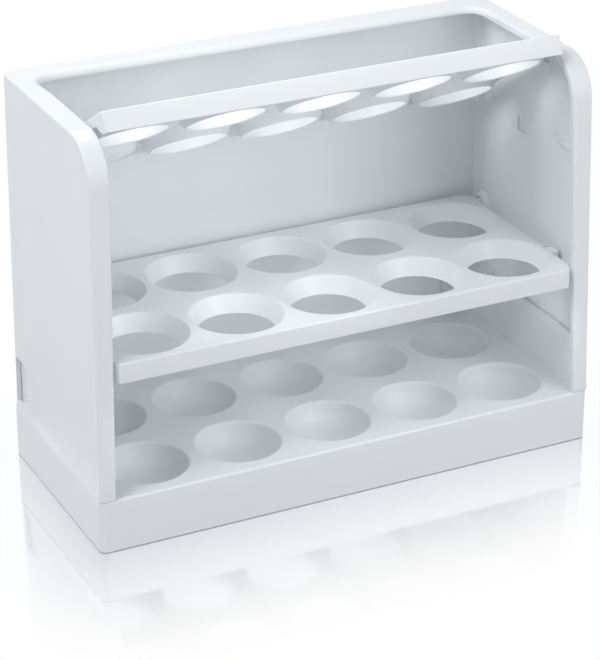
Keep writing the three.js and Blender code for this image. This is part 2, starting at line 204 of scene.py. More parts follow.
def cell_loops(outline):
    """Loops of CELL_STEPS points a side round the cups' ten cells, which tile the area inside the outline.

    The outline has CELL_STEPS steps along each outer cell side, from the middle of its front left corner on.
    Between cells, the sides are straight lines from one point of the middle line or border to the next.
    """
    n = CELL_STEPS
    front = outline[: COLUMNS * n + 1]
    right = outline[COLUMNS * n : (COLUMNS + ROWS) * n + 1]
    back = outline[(COLUMNS + ROWS) * n : (2 * COLUMNS + ROWS) * n + 1][::-1]
    left = np.concatenate([outline[(2 * COLUMNS + ROWS) * n :], outline[:1]])[::-1]
    share = np.linspace(0, 1, n + 1)[:, None]
    middle = [left[n]] + [np.array([x, LINE_Y]) for x in LINE_X] + [right[n]]
    loops = {}
    for i in range(COLUMNS):
        for j in range(ROWS):
            line = middle[i] + (middle[i + 1] - middle[i]) * share
            columns, rows = slice(i * n, (i + 1) * n + 1), slice(j * n, (j + 1) * n + 1)
            low = front[columns] if j == 0 else line
            high = back[columns] if j == 1 else line
            west = left[rows] if i == 0 else low[0] + (high[0] - low[0]) * share
            east = right[rows] if i == COLUMNS - 1 else low[-1] + (high[-1] - low[-1]) * share
            loops[i, j] = np.concatenate([low[:-1], east[:-1], high[::-1][:-1], west[::-1][:-1]])
    return loops


def cup_patch(loop, centre, profile, plane_z, flat=None):
    """A cell's face: flat from its loop to the cup's rim, then the profile turned round the cup's axis.

    profile rows are (radius, height, set-back of the flat side). Points lie on rays from the axis to the
    loop's points. Where flat is given, no ray passes it: the radius is the lesser of the profile's and the
    flat's.
    """
    rays = loop - centre
    rays = rays / np.linalg.norm(rays, axis=1, keepdims=True)
    rows = [np.column_stack([loop, np.full(len(loop), plane_z)])]
    for radius, height, back in profile:
        reach = np.full(len(loop), radius)
        if flat is not None:
            facing = np.maximum(rays[:, 0] * np.sign(flat), 1e-6)
            reach = np.minimum(reach, (abs(flat) + back - abs(centre[0])) / facing)
        rows.append(np.column_stack([centre + rays * reach[:, None], np.full(len(loop), height)]))
    return closed(np.stack(rows))


def swept(outline_at, profile):
    """A profile of (inset, height) pairs carried round a plan outline. A height may vary along it."""
    rows = []
    for inset, height in profile:
        loop = outline_at(inset)
        rows.append(np.column_stack([loop, np.broadcast_to(height, len(loop))]))
    return closed(np.stack(rows))


def eased_edge(edge, top, degrees=90, steps=6):
    """Rows (inset, height) of a rounded top edge, from its inner end at the top outwards and down.

    At an angle from 0 to the given degrees, the inset is the edge's radius times one less the sine, and the
    height lies below the top by the radius times one less the cosine.
    """
    angle = np.radians(np.linspace(0, degrees, steps))
    return [(edge * (1 - np.sin(a)), top - edge * (1 - np.cos(a))) for a in angle]


def plinth_outline(inset):
    """The plinth's plan: a rectangle with small front corners and rounder rear corners."""
    corners = [(-HALF_WIDTH, FRONT), (HALF_WIDTH, FRONT), (HALF_WIDTH, REAR), (-HALF_WIDTH, REAR)]
    front_arc, rear_arc = (PLINTH_FRONT_RADIUS, CORNER_STEPS), (PLINTH_REAR_RADIUS, CORNER_STEPS)
    end = CELL_STEPS - CORNER_STEPS // 2
    across = [end] + [CELL_STEPS] * (COLUMNS - 2) + [end]
    side = (1, [LINE_Y], [end, end])
    stops = [(0, LINE_X, across), side, (0, LINE_X[::-1], across), side]
    loop = plan_outline(corners, [front_arc, front_arc, rear_arc, rear_arc], stops, inset)
    return np.roll(loop, -(CORNER_STEPS // 2), 0)


def bowl_profile(wall):
    """Rows of a shallow bowl from its rim to its axis: a rounded edge, a sloping side and a hollow floor.

    At a share s of the side, the radius has gone s to the power BOWL_POWER of its way to the floor's, and the
    depth below the edge is the bowl's times the sine of s quarter turns. The underside is the same bowl, a
    wall deeper and wider.
    """
    rim, floor = BOWL_RIM_RADIUS + wall, BOWL_FLOOR_RADIUS + wall
    top = DECK_Z - (DECK_THICKNESS if wall else 0)
    edge = BOWL_UNDER_EDGE if wall else BOWL_EDGE
    rows = [(rim + inset, height) for inset, height in eased_edge(edge, top, 75)]
    start, depth = rows[-1][0], BOWL_DEPTH + wall
    for s in np.linspace(BOWL_START, 1, 10):
        height = DECK_Z - edge - (depth - edge) * np.sin(s * np.pi / 2)
        rows.append((start + (floor - start) * s**BOWL_POWER, height))
    rows += [(floor * s, DECK_Z - depth - BOWL_DISH * (1 - s)) for s in (0.6, 0.25, 0)]
    return [(r, z, 0) for r, z in rows]


def fan(loop):
    """A flat end for a closed row of points: every point joined to their middle."""
    return np.stack([loop, np.broadcast_to(loop[:-1].mean(0), loop.shape)])


def eased_block(corners, low, high, edge, axis=2):
    """A block on a four-sided outline with all its edges eased, from low to high along an axis.

    A quarter of a circle of the edge's radius rounds its foot and top. The outline's arcs are a fifth larger.
    """
    radii, stops = [(edge * 1.2, 3)] * len(corners), [(0, [], [2])] * len(corners)
    arc = eased_edge(edge, high, steps=4)
    foot = [(inset, low + high - height) for inset, height in arc]
    sides = swept(lambda inset: plan_outline(corners, radii, stops, inset), foot + arc[::-1])
    patches = [sides, fan(sides[0]), fan(sides[-1])]
    return [np.roll(patch, 1, -1) for patch in patches] if axis == 0 else patches


def upright_block(x0, x1, y0, y1, z0, z1, edge):
    """An eased block between two corners."""
    return eased_block([(x0, y0), (x1, y0), (x1, y1), (x0, y1)], z0, z1, edge)


def cheek(side):
    """A cheek: a wall along the side, a rounded rear corner and a return along the back, carried upwards.

    It leans inwards by CHEEK_LEAN, and its wall narrows to CHEEK_CREST of itself at the very top.
    """
    face, rear = house_high.x - CHEEK_INSET, REAR - WALL - SEAT_GAP
    angle = np.linspace(0, np.pi / 2, 6)

    def line(inset):
        """One face of the strip in plan, moved inwards: the wall, a quarter of a circle and the return."""
        r = max(CHEEK_CORNER - inset, CHEEK_INNER_CORNER)
        cx, cy = face - CHEEK_CORNER, rear - CHEEK_CORNER
        along = np.linspace(FRONT + CHEEK_FRONT_INSET, cy, CHEEK_STEPS)
        arc = np.column_stack([cx + r * np.cos(angle), cy + r * np.sin(angle)])
        wall = np.column_stack([np.full(CHEEK_STEPS, face - inset), along])
        back = np.array([[face - CHEEK_RETURN, rear - inset]])
        path = np.concatenate([wall, arc[1:], back])
        return np.column_stack([path[:, 0] * side, path[:, 1]])

    outer, inner = line(0), line(CHEEK_WALL)
    middle = (outer + inner) / 2
    crest = middle + (outer - middle) * CHEEK_CREST, middle + (inner - middle) * CHEEK_CREST
    ring, top = [np.concatenate([a, b[::-1]]) for a, b in ((outer, inner), crest)]
    lean = np.array([-side * CHEEK_LEAN, 0])
    levels = [(ring, DECK_Z - DECK_THICKNESS / 2), (ring + lean, CHEEK_TOP - CHEEK_EASE)]
    rows = [np.column_stack([row, np.full(len(row), z)]) for row, z in levels + [(top + lean, CHEEK_TOP)]]
    n = len(outer)
    lids = [np.stack([row[:n], row[::-1][:n]]) for row in (rows[0], rows[2])]
    return [closed(np.stack(rows))] + lids


deck_loops = cell_loops(plinth_outline(DECK_EDGE))
under_loops = cell_loops(plinth_outline(WALL + PLINTH_EDGE))
under = DECK_Z - DECK_THICKNESS
base_patches = []
for i in range(COLUMNS):
    for j in range(ROWS):
        cup = np.array([CUP_X[i], CUP_Y[j]])
        base_patches.append(cup_patch(deck_loops[i, j], cup, bowl_profile(0), DECK_Z))
        base_patches.append(cup_patch(under_loops[i, j], cup, bowl_profile(BOWL_WALL), under))

# The plinth's section: deck edge, outside, a foot of two arcs under the wall, and the inside up to the deck.
plinth_profile = eased_edge(DECK_EDGE, DECK_Z) + [(0, DECK_Z * 0.6), (0, DECK_Z * 0.25)]
quarter = [(PLINTH_EDGE * np.cos(a), PLINTH_EDGE * np.sin(a)) for a in np.radians(np.linspace(0, 90, 4))]
plinth_profile += [(PLINTH_EDGE - across, PLINTH_EDGE - down) for across, down in quarter]
plinth_profile += [(WALL - PLINTH_EDGE + across, PLINTH_EDGE - down) for down, across in quarter]
plinth_profile += [(WALL, DECK_Z * 0.5), (WALL, under - PLINTH_EDGE), (WALL + PLINTH_EDGE, under)]
base_patches.append(swept(plinth_outline, plinth_profile))

cheek_face = house_high.x - CHEEK_INSET - CHEEK_LEAN
snap_front, snap_foot = REAR - SNAP_TO_REAR + SEAT_GAP, house_low.z + SNAP_FOOT
snap_span = (snap_front, snap_front + SNAP_LENGTH, snap_foot, snap_foot + SNAP_HEIGHT)
for side in (-1, 1):
    base_patches += cheek(side)
    ends = sorted((side * (cheek_face - CHEEK_WALL / 2), side * (cheek_face + SNAP_REACH)))
    base_patches += upright_block(*ends, *snap_span, SNAP_EDGE)
base = shell_piece("base_tray_moulding", base_patches)


# Moulded white plastic: a cool white polypropylene with a satin skin, a touch glossier on the egg trays. Its
# texture is faint: a colour that drifts a little, slow waves under the gloss and a fine grain from the mould.
PLASTIC = (0.840, 0.854, 0.880, 1.0)
PLASTIC_SHADE = (0.812, 0.828, 0.856, 1.0)
ROUGHNESS, TRAY_ROUGHNESS = 0.36, 0.34
CLOUD_SCALE, WAVE_SCALE, GRAIN_SCALE = 14.0, 45.0, 2600.0
WAVE_ROUGHNESS, GRAIN_ROUGHNESS = 0.12, 0.06
WAVE_HEIGHT, GRAIN_HEIGHT = 0.6, 0.05


class Wire:
    """A shader socket that arithmetic works on: each operator adds the Math node of its name."""

    def __init__(self, finish, socket):
        self.finish, self.socket = finish, socket

    def math(self, operation, other):
        return self.finish.node("ShaderNodeMath", {"operation": operation}, {0: self, 1: other})

    def __add__(self, other):
        return self.math("ADD", other)

    def __sub__(self, other):
        return self.math("SUBTRACT", other)

    def __mul__(self, other):
        return self.math("MULTIPLY", other)

    __radd__ = __add__


class Finish:
    """A material and its nodes. node() adds any node by its type, its settings and its sockets' values."""

    def __init__(self, name):
        self.material = bpy.data.materials.new(name)
        self.material.use_nodes = True
        self.tree = self.material.node_tree
        self.tree.nodes.clear()

    def node(self, kind, settings=None, sockets=None, output=0):
        made = self.tree.nodes.new(kind)
        for key, value in (settings or {}).items():
            setattr(made, key, value)
        for key, value in (sockets or {}).items():
            if isinstance(value, Wire):
                self.tree.links.new(value.socket, made.inputs[key])
            else:
                made.inputs[key].default_value = value
        return Wire(self, made.outputs[output]) if made.outputs else made


def moulded_plastic(name, tone, shade, roughness, seed):
    """Satin plastic: one noise carries its colour from tone to shade, two more its roughness and its relief.

    The seed shifts the noise. A Mix node takes its two colours in sockets 6 and 7 and gives one in output 2.
    """
    finish = Finish(name)
    place = finish.node("ShaderNodeTexCoord", output="Object")
    shifted = finish.node("ShaderNodeMapping", {}, {"Vector": place, "Location": (seed, seed * 0.7, 0)})
    cloud = finish.node("ShaderNodeTexNoise", {}, {"Vector": shifted, "Scale": CLOUD_SCALE, "Detail": 3.0})
    wave = finish.node("ShaderNodeTexNoise", {}, {"Vector": shifted, "Scale": WAVE_SCALE, "Detail": 2.0})
    grain = finish.node("ShaderNodeTexNoise", {}, {"Vector": shifted, "Scale": GRAIN_SCALE, "Detail": 2.0})
    tones = {"Factor": cloud, 6: tone, 7: shade}
    colour = finish.node("ShaderNodeMix", {"data_type": "RGBA"}, tones, output=2)
    rough = roughness + (wave - 0.5) * WAVE_ROUGHNESS + (grain - 0.5) * GRAIN_ROUGHNESS
    height = wave * WAVE_HEIGHT + grain * GRAIN_HEIGHT
    relief = finish.node("ShaderNodeBump", {}, {"Height": height, "Strength": 0.12, "Distance": 0.0006})
    satin = {"Base Color": colour, "Roughness": rough, "Normal": relief}
    skin = finish.node("ShaderNodeBsdfPrincipled", {}, satin | {"IOR": 1.49, "Specular IOR Level": 0.5})
    finish.node("ShaderNodeOutputMaterial", {}, {"Surface": skin})
    return finish.material


base_plastic = moulded_plastic("base_white_plastic", PLASTIC, PLASTIC_SHADE, ROUGHNESS, 1.3)
finish_piece(base, base_plastic, "base_tray", "rack")


# Egg trays: two mouldings of the same white plastic. Each is a thin plate with ten tapered collars, a low
# skirt and a deeper apron in front. Pins at the back snap into the housing, lugs rest on its ledges, and nubs
# click into its pockets.
CUP_EDGE, CUP_TO_SIDE = 0.0008, 0.0023
COLLAR_DEPTH, COLLAR_TAPER, COLLAR_WALL = 0.0087, 0.0036, 0.0012
TAPER_START, TAPER_END = 0.0016, 0.0007

# The top tray's nose is narrower than its cups, so the collars at its front corners have a flat side.
FLAT_INSET, FLAT_SET_BACK = 0.002, 0.0005
PLATE, TRAY_EDGE, TRAY_CORNER = 0.002, 0.0009, 0.0008
SKIRT_WALL, SKIRT_DEPTH, APRON_DEPTH = 0.0013, 0.005, 0.0095
SKIRT_EDGE, SKIRT_BLUNT, SKIRT_INNER_EDGE = 0.0005, (0.0002, 0.0001), 0.0004
SKIRT_ROOT, SKIRT_DRAFT = 0.0006, 0.0001
APRON_END, APRON_RAMP = 0.0009, 0.0006
TRAY_HALF_WIDTH = CUP_X[-1] + CUP_RADIUS + CUP_TO_SIDE
TRAY_FRONT, TRAY_REAR = tray_low.y, tray_high.y
FRONT_CUT = (0.003, 0.0059)
TOP_FRONT_CUT = (0.001, 0.003)
REAR_CUT = 0.004
NOSE_HALF_WIDTH = 0.11167
NOSE_STEPS, SHOULDER_STEPS = 5, 1
hinges = {joint["name"]: Vector(joint["pos_m"]) for joint in frame["joints"]}
TRAY_TOP_TO_PIVOT = tray_high.z - hinges["middle_tray_hinge"].z
LUG_REACH, LUG_LENGTH, LUG_HALF_WIDTH, LUG_EDGE = 0.074, 0.006, 0.120, 0.0009
MIDDLE_LUG_DROP, TOP_LUG_DROP = 0.0003, 0.0023
NUB_REACH, NUB_RADIUS, NUB_END, NUB_EDGE = 0.063, 0.0017, 0.1183, 0.0006
PIN_RADIUS, PIN_END = 0.0024, tray_high.x
BOSS_RADIUS, BOSS_REACH = 0.0035, 0.0006
ROOT_DEPTH = 0.001


def tray_outline(nose, cut):
    """The tray's plan as a function of inset: cut corners, and a nose ahead of the lugs that may be narrower.

    Each cut corner is an arc, a short edge and an arc. The outline starts at the middle of the front left
    one, with the front side first, as cell_loops needs it.
    """
    wide = TRAY_HALF_WIDTH
    shoulder = hinges["middle_tray_hinge"].y + TRAY_TOP_TO_PIVOT + LUG_LENGTH - LUG_REACH
    right = [(nose - cut[0], TRAY_FRONT), (nose, TRAY_FRONT + cut[1])]
    if nose < wide:
        right += [(nose, shoulder), (wide, shoulder + LUG_LENGTH / 2)]
    right += [(wide, TRAY_REAR - REAR_CUT), (wide - REAR_CUT, TRAY_REAR)]
    corners = right + [(-x, y) for x, y in right[::-1]]
    arc_steps, short_steps = 4, 2
    rounded, sharp = [(TRAY_CORNER, arc_steps)] * 2, [(0, 0)] * (len(right) - 4)
    radii = (rounded + sharp + rounded) * 2
    half_corner = arc_steps + short_steps // 2
    end = CELL_STEPS - half_corner
    across = (0, LINE_X, [end] + [CELL_STEPS] * (COLUMNS - 2) + [end])
    short = (0, [], [short_steps])
    right_side = left_side = [(1, [LINE_Y], [end, end])]
    if nose < wide:
        narrow, step = (1, [], [NOSE_STEPS]), (1, [], [SHOULDER_STEPS])
        behind = end - NOSE_STEPS - SHOULDER_STEPS
        right_side = [narrow, step, (1, [LINE_Y], [behind, end])]
        left_side = [(1, [LINE_Y], [end, behind]), step, narrow]
    back = (0, LINE_X[::-1], across[2])
    stops = [short] + right_side + [short, back, short] + left_side + [short, across]
    first = COLUMNS * CELL_STEPS - half_corner
    return lambda inset: np.roll(plan_outline(corners, radii, stops, inset), first, 0)


def collar_profile(top):
    """Rows down a collar's inside, round its foot and up its outside: (radius, height, set-back of a flat).

    After a rounded edge, the inside's radius falls by the taper per depth, a half circle of the wall's width
    closes the foot, and the outside is the inside's line moved out by the wall.
    """
    slope, foot, half = COLLAR_TAPER / COLLAR_DEPTH, top - COLLAR_DEPTH, COLLAR_WALL / 2
    rows = [(CUP_RADIUS + out, height, out) for out, height in eased_edge(CUP_EDGE, top, 68)]
    for z in np.linspace(top - TAPER_START, foot + TAPER_END, 4):
        rows.append((CUP_RADIUS - slope * (top - z), z, 0))
    throat = CUP_RADIUS - COLLAR_TAPER
    for a in np.radians(np.linspace(170, 370, 7)):
        set_back = half * (1 + np.cos(a)) * 0.5
        rows.append((throat + half + half * np.cos(a), foot + half + half * np.sin(a), set_back))
    for z in np.linspace(foot + COLLAR_WALL, top - PLATE, 4):
        rows.append((CUP_RADIUS - slope * (top - z) + COLLAR_WALL, z, FLAT_SET_BACK))
    return rows


def turned_profile(profile, y, z, steps=28):
    """A profile of (x, radius) pairs carried round an axis along X through (y, z)."""
    angle = np.linspace(0, 2 * np.pi, steps + 1)
    x, radius = np.array(profile).T[:, :, None]
    across = np.broadcast_to(x, (len(profile), steps + 1))
    return np.stack([across, y + radius * np.cos(angle), z + radius * np.sin(angle)], -1)


def round_bar(x0, x1, y, z, radius, edge=0.0003):
    """A round bar along X whose ends are eased by a quarter of a circle."""
    inwards, quarter = np.sign(x1 - x0), np.radians(np.linspace(0, 90, 4))
    ease = [(edge * (1 - np.cos(a)), radius - edge * (1 - np.sin(a))) for a in quarter]
    near = [(x0 + inwards * along, r) for along, r in ease]
    far = [(x1 - inwards * along, r) for along, r in ease[::-1]]
    return turned_profile([(x0, 0)] + near + far + [(x1, 0)], y, z)


def turned(patches, pivot, angle):
    """Points turned about the X direction through a pivot, so that what lies ahead of it rises.

    From the pivot, the new y is y times the cosine plus z times the sine, and the new z is z times the cosine
    less y times the sine.
    """
    out = []
    for patch in patches:
        y, z = patch[..., 1] - pivot.y, patch[..., 2] - pivot.z
        new_y = y * np.cos(angle) + z * np.sin(angle) + pivot.y
        new_z = -y * np.sin(angle) + z * np.cos(angle) + pivot.z
        out.append(np.stack([patch[..., 0], new_y, new_z], -1))
    return out


def egg_tray(name, pivot, nose, cut, lug_drop, angle):
    """A tray lying flat at its pivot's height, turned up by the angle once its surfaces are made.

    The skirt round it deepens to the apron's depth over APRON_RAMP, APRON_END behind the front corners' cuts.
    """
    top = pivot.z + TRAY_TOP_TO_PIVOT
    outline_at = tray_outline(nose, cut)
    plate_loops = cell_loops(outline_at(TRAY_EDGE))
    under_loops = cell_loops(outline_at(SKIRT_WALL + SKIRT_DRAFT))
    profile = collar_profile(top)
    patches = []
    for i in range(COLUMNS):
        for j in range(ROWS):
            cup = np.array([CUP_X[i], CUP_Y[j]])
            outer_front = j == 0 and i in (0, COLUMNS - 1) and nose < TRAY_HALF_WIDTH
            flat = np.sign(cup[0]) * (nose - FLAT_INSET) if outer_front else None
            whole = cup_patch(plate_loops[i, j], cup, profile, top, flat)
            patches.append(whole)
            last = whole[-1, :-1]
            floor = np.column_stack([under_loops[i, j], np.full(len(last), top - PLATE)])
            patches.append(closed(np.stack([last, floor])))
    loop = outline_at(0)
    reach = np.clip((TRAY_FRONT + cut[1] + APRON_END - loop[:, 1]) / APRON_RAMP, 0, 1)
    depth = SKIRT_DEPTH + (APRON_DEPTH - SKIRT_DEPTH) * reach
    foot = top - depth
    edge = eased_edge(TRAY_EDGE, top) + [(0, top - depth * 0.5), (0, foot + SKIRT_EDGE)]
    edge += [(SKIRT_BLUNT[0], foot + SKIRT_BLUNT[1]), (SKIRT_EDGE, foot)]
    edge += [(SKIRT_WALL - SKIRT_INNER_EDGE, foot), (SKIRT_WALL, foot + SKIRT_INNER_EDGE)]
    edge += [(SKIRT_WALL, top - PLATE - SKIRT_ROOT), (SKIRT_WALL + SKIRT_DRAFT, top - PLATE)]
    patches.append(swept(outline_at, edge))
    lug_y, lug_foot = pivot.y - LUG_REACH, top - SKIRT_DEPTH
    nub_y, nub_z = pivot.y - NUB_REACH, top - SKIRT_DEPTH / 2
    for side in (-1, 1):
        root, boss_end = side * (TRAY_HALF_WIDTH - ROOT_DEPTH), side * (TRAY_HALF_WIDTH + BOSS_REACH)
        patches.append(round_bar(root, side * PIN_END, pivot.y, pivot.z, PIN_RADIUS))
        patches.append(round_bar(root, boss_end, pivot.y, pivot.z, BOSS_RADIUS))
        ends = sorted((side * (nose - ROOT_DEPTH), side * LUG_HALF_WIDTH))
        patches += upright_block(*ends, lug_y, lug_y + LUG_LENGTH, lug_foot, top - lug_drop, LUG_EDGE)
        patches.append(round_bar(root, side * NUB_END, nub_y, nub_z, NUB_RADIUS, NUB_EDGE))
    return shell_piece(name, turned(patches, pivot, angle))


TOP_RISE = np.radians(31.97)
middle_pivot, top_pivot = hinges["middle_tray_hinge"], hinges["top_tray_hinge"]
tray_plastic = moulded_plastic("tray_white_plastic", PLASTIC, PLASTIC_SHADE, TRAY_ROUGHNESS, 4.1)
middle = egg_tray("middle_tray_moulding", middle_pivot, TRAY_HALF_WIDTH, FRONT_CUT, MIDDLE_LUG_DROP, 0)
finish_piece(middle, tray_plastic, "middle_tray", "middle_tray")
top_tray = egg_tray("top_tray_moulding", top_pivot, NOSE_HALF_WIDTH, TOP_FRONT_CUT, TOP_LUG_DROP, TOP_RISE)
finish_piece(top_tray, tray_plastic, "top_tray", "top_tray")


# Housing: one tall white moulding that drops over the base. Two side walls and a back, a rim turned inwards
# on top, and the same rim running down the front as posts. Windows low at the rear take the base's cheeks.
HOUSE_FOOT, HOUSE_TOP = house_low.z, house_high.z
SIDE_LEAN, FRONT_LEAN, LEDGE = 0.002, 0.006, 0.0006
HOUSE_CORNER, INNER_CORNER, MOUTH_CORNER, CURVE_RADIUS = 0.0045, 0.0011, 0.008, 0.020
RIM_THICKNESS, RIM_SIDE, RIM_BACK, FLANGE_FOOT = 0.003, 0.0102, 0.013, 0.0078
OUTER_EDGE, BACK_BEVEL, TOP_BEVEL, POST_BEVEL = 0.0011, 0.0024, 0.0007, 0.0010
SIDE_STEPS, TURN_STEPS, BACK_STEPS, SIDE_POWER = 44, 8, 40, 1.3
LEG_STEPS, CURVE_STEPS, LEG_POWER = 48, 14, 1.7
COVE_DEPTH, COVE_REAR_HEIGHT, COVE_FRONT_HEIGHT, COVE_FADE = 0.0016, 0.006, 0.018, 0.045
COVE_START, COVE_RAMP = 0.0008, 0.003
COVE_END_Y, COVE_END_RAMP = 0.033, 0.012
DRAW_BACK, CREST_SHARE, BEVEL_BLEND = 0.003, 0.15, 9
TOUCH = 0.0001


def rise(z):
    """Share of the housing's height at z: 0 at its foot, 1 at its top."""
    return (z - HOUSE_FOOT) / (HOUSE_TOP - HOUSE_FOOT)


def edge_path(inset):
    """The front edge of a side wall and its curve into the top, as (y, z), moved inwards by inset.

    A leaning line up to the curve, then an arc about a fixed centre with the curve's radius less the inset.
    The line's points crowd towards its foot: their shares of it are even ones to the power LEG_POWER.
    """
    slope = FRONT_LEAN / (HOUSE_TOP - HOUSE_FOOT)
    skew = np.hypot(1, slope)
    centre_z = HOUSE_TOP - CURVE_RADIUS
    centre_y = FRONT + FRONT_LEAN * rise(centre_z) + CURVE_RADIUS * skew
    angle = np.linspace(np.arctan(slope), np.pi / 2, CURVE_STEPS + 1)
    radius = CURVE_RADIUS - inset
    arc = np.column_stack([centre_y - radius * np.cos(angle), centre_z + radius * np.sin(angle)])
    share = (np.arange(LEG_STEPS) / LEG_STEPS) ** LEG_POWER
    leg_z = HOUSE_FOOT + (arc[0, 1] - HOUSE_FOOT) * share
    leg = np.column_stack([FRONT + FRONT_LEAN * rise(leg_z) + inset * skew, leg_z])
    return np.concatenate([leg, arc])


def wall_plan(start_y, half_width, rear, radius):
    """Plan of the walls at each height: up the left side, round the back and down the right side.

    Half of it is a side, a quarter of a circle and half the back, and the other half mirrors it. start_y and
    half_width are columns, one value a row. Returns x and y as (rows, columns).
    """
    side = np.linspace(0, 1, SIDE_STEPS + 1)[None] ** SIDE_POWER
    y_side = start_y + (rear - radius - start_y) * side
    turn = np.linspace(0, np.pi / 2, TURN_STEPS + 1)[None, 1:-1]
    x_turn = half_width - radius + radius * np.cos(turn)
    y_turn = np.broadcast_to(rear - radius + radius * np.sin(turn), x_turn.shape)
    back = np.linspace(0, 1, BACK_STEPS // 2 + 1)[None]
    x_back = (half_width - radius) * (1 - back)
    x_side = np.broadcast_to(half_width, y_side.shape)
    x_half = np.concatenate([x_side, x_turn, x_back], 1)
    y_half = np.concatenate([y_side, y_turn, np.full(x_back.shape, rear)], 1)
    x = np.concatenate([-x_half, x_half[:, ::-1][:, 1:]], 1)
    y = np.concatenate([y_half, y_half[:, ::-1][:, 1:]], 1)
    return x, y


def house_half_width(z):
    """Half the housing's outer width: the plinth's less the ledge and a lean that grows with height."""
    return HALF_WIDTH - LEDGE - SIDE_LEAN * rise(z)


def walls(edge_inset, wall_inset, radius):
    """The outer or inner wall surface: a plan at each height of the edge path."""
    path = edge_path(edge_inset)
    z = path[:, 1:2]
    x, y = wall_plan(path[:, :1], house_half_width(z) - wall_inset, REAR - wall_inset, radius)
    return np.stack([x, y, np.broadcast_to(z, x.shape)], -1)


def border(surface):
    """The walls' open border: up the left front edge, round the top row and down the right front edge."""
    return np.concatenate([surface[:-1, 0], surface[-1], surface[:-1, -1][::-1]])


def mouth(edge_inset, draw_back):
    """The border of the mouth at the same places as the walls' border, drawn back outwards by draw_back.

    Its half width goes evenly from FLANGE_FOOT inside the plinth's at the foot to RIM_SIDE inside the wall's
    on top, and its rear lies RIM_BACK inside the housing's.
    """
    path = edge_path(edge_inset)
    z = path[:, 1:2]
    share = rise(z)
    top_half = house_half_width(HOUSE_TOP) - RIM_SIDE
    foot_half = HALF_WIDTH - FLANGE_FOOT
    half = foot_half + (top_half - foot_half) * share + draw_back
    x, y = wall_plan(path[:, :1], half, REAR - RIM_BACK + draw_back, MOUTH_CORNER + draw_back)
    return border(np.stack([x, y, np.broadcast_to(z, x.shape)], -1))


# The outside of the walls. Low on the sides a shallow cove runs from behind the post to ahead of the window,
# and flares out to the plinth's edge at its foot.
outer = walls(OUTER_EDGE, 0, HOUSE_CORNER)
side_wall = np.abs(outer[..., 0]) > house_half_width(outer[..., 2]) - TOUCH
along = outer[..., 1]
front_edge = outer[:, :1, 1]
behind_post = np.clip((along - front_edge - COVE_START) / COVE_RAMP, 0, 1)
ahead_of_window = np.clip((COVE_END_Y - along) / COVE_END_RAMP, 0, 1)
forward = np.clip((COVE_END_Y - along) / (COVE_END_Y - FRONT), 0, 1)
cove_height = COVE_REAR_HEIGHT + (COVE_FRONT_HEIGHT - COVE_REAR_HEIGHT) * forward
above_foot = outer[..., 2] - HOUSE_FOOT
up = np.clip(above_foot / cove_height, 0, 1)
fade = np.clip((above_foot - cove_height) / COVE_FADE, 0, 1)
eased = [ramp**2 * (3 - 2 * ramp) for ramp in (behind_post, ahead_of_window, 1 - fade)]
recess = COVE_DEPTH * eased[0] * eased[1] * eased[2] * (1 - (1 - up) ** 3)
flare = LEDGE * (1 - up) ** 3
outer[..., 0] += np.sign(outer[..., 0]) * side_wall * (flare - recess)
inner = walls(RIM_THICKNESS, WALL, INNER_CORNER)
outer_border, inner_border = border(outer), border(inner)

# The mouth's bevel is wide along the back, narrow on the sides' tops and between the two on the posts. A
# running mean evens it out along the border.
on_top = outer_border[:, 2] > HOUSE_TOP - OUTER_EDGE - TOUCH
on_back = on_top & (outer_border[:, 1] > REAR - RIM_BACK)
bevel = np.where(on_back, BACK_BEVEL, np.where(on_top, TOP_BEVEL, POST_BEVEL))
kernel = np.ones(BEVEL_BLEND) / BEVEL_BLEND
bevel = np.convolve(np.pad(bevel, BEVEL_BLEND // 2, mode="edge"), kernel, mode="valid")[:, None]

# The rim, row by row from the outer wall over its rounded edge, across the flat and down into the mouth.
rim_rows = [outer_border]
for a in np.radians(np.linspace(18, 90, 5)):
    inset = OUTER_EDGE * (1 - np.cos(a))
    rim_rows.append(border(walls(OUTER_EDGE * (1 - np.sin(a)), inset, HOUSE_CORNER - inset)))
crest = rim_rows[-1]
edge_top, edge_foot = mouth(0, 0), mouth(RIM_THICKNESS, 0)
outward, down = mouth(0, DRAW_BACK) - edge_top, edge_foot - edge_top
outward /= np.linalg.norm(outward, axis=1, keepdims=True)
down /= np.linalg.norm(down, axis=1, keepdims=True)
rim_rows.append(edge_top + outward * bevel + CREST_SHARE * (crest - edge_top))
for a in np.radians(np.linspace(0, 90, 6)):
    rim_rows.append(edge_top + outward * bevel * (1 - np.sin(a)) + down * bevel * (1 - np.cos(a)))
rim = np.stack(rim_rows + [edge_foot, inner_border])

foot_rows = np.stack([outer[0], inner[0]])
foot_caps = [rim[:, 0], rim[:, -1]]
housing = shell_piece("housing_moulding", [outer, rim, inner, foot_rows], foot_caps)


# Openings in the housing's side walls: a window low at the rear for the base's cheek, its sill higher in
# front, and a shallow pocket on the inside beside the nub of each raised tray.
WINDOW_SILL, WINDOW_SILL_RISE, WINDOW_HEIGHT = HOUSE_FOOT + 0.0016, 0.0076, 0.0243
WINDOW_REAR, WINDOW_LENGTH = REAR - 0.0045, 0.0159
WINDOW_IN, WINDOW_OUT, WINDOW_EDGE = 0.006, 0.002, 0.0008
POCKET_LENGTH, POCKET_HEIGHT, POCKET_DEPTH = 0.0085, 0.0075, 0.0016
POCKET_IN, POCKET_EDGE = 0.002, 0.0006
MIDDLE_RISE = np.radians(56)


